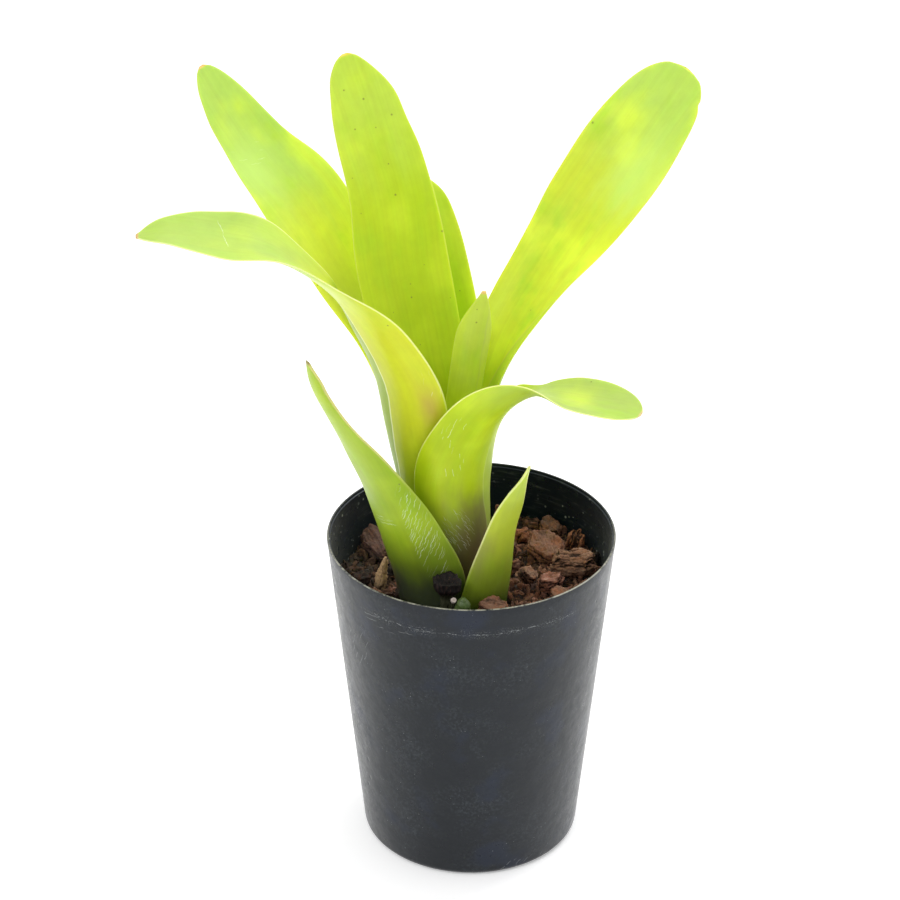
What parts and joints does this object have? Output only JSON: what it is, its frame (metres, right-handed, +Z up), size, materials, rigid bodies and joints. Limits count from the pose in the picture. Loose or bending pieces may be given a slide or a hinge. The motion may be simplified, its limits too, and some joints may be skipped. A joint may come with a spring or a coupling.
{
  "type": "neoregelia bromeliad in a pot",
  "caption": "Young neoregelia bromeliad with yellow-green strap leaves in a loose upright rosette, standing in bark chips in a tapered black plastic nursery pot.",
  "frame": {"origin": "centre of the pot's flat base, on the surface it stands on", "axes": "+Z up along the pot's axis; -Y is the plant's front, which the picture is taken from; +X to its right"},
  "size_m": [0.193, 0.1139, 0.2933],
  "materials": {
    "leaf": "satin",
    "stem": "matte",
    "stub": "matte",
    "bud": "satin",
    "grain": "matte",
    "bark": "matte",
    "tan_bark": "matte",
    "bed": "matte",
    "pot_plastic": "satin"
  },
  "bodies": {
    "root": {"bark_bed": "bed", "bark_chip_arch_back": "bark", "bark_chip_back_inner": "bark", "bark_chip_back_left": "bark", "bark_chip_back_mid": "bark", "bark_chip_back_right": "bark", "bark_chip_behind_tube": "bark", "bark_chip_bit_brown": "bark", "bark_chip_bit_red": "bark", "bark_chip_cup": "bark", "bark_chip_curl_left": "bark", "bark_chip_curl_low": "bark", "bark_chip_flat": "bark", "bark_chip_front_bud": "bark", "bark_chip_front_far_left": "bark", "bark_chip_front_left": "bark", "bark_chip_front_mid": "bark", "bark_chip_grooved": "bark", "bark_chip_inner_left": "bark", "bark_chip_left_big": "bark", "bark_chip_left_low": "bark", "bark_chip_left_wall": "bark", "bark_chip_mid_low": "bark", "bark_chip_orange": "bark", "bark_chip_pale": "bark", "bark_chip_ridged": "bark", "bark_chip_right_inner": "bark", "bark_chip_rim_slim": "bark", "bark_chip_tan_sliver": "tan_bark", "bark_chip_under_tan": "bark", "bark_chip_wall_front_right": "bark", "bark_chip_wall_right": "bark", "basal_stem": "stem", "cut_stub": "stub", "leaf_back": "leaf", "leaf_heart": "leaf", "leaf_left_arching": "leaf", "leaf_left_back": "leaf", "leaf_left_outer": "leaf", "leaf_right": "leaf", "leaf_right_arching": "leaf", "leaf_right_outer": "leaf", "leaf_tall_back": "leaf", "offset_bud": "bud", "perlite_grain": "grain", "pot": "pot_plastic"}
  },
  "joints": []
}
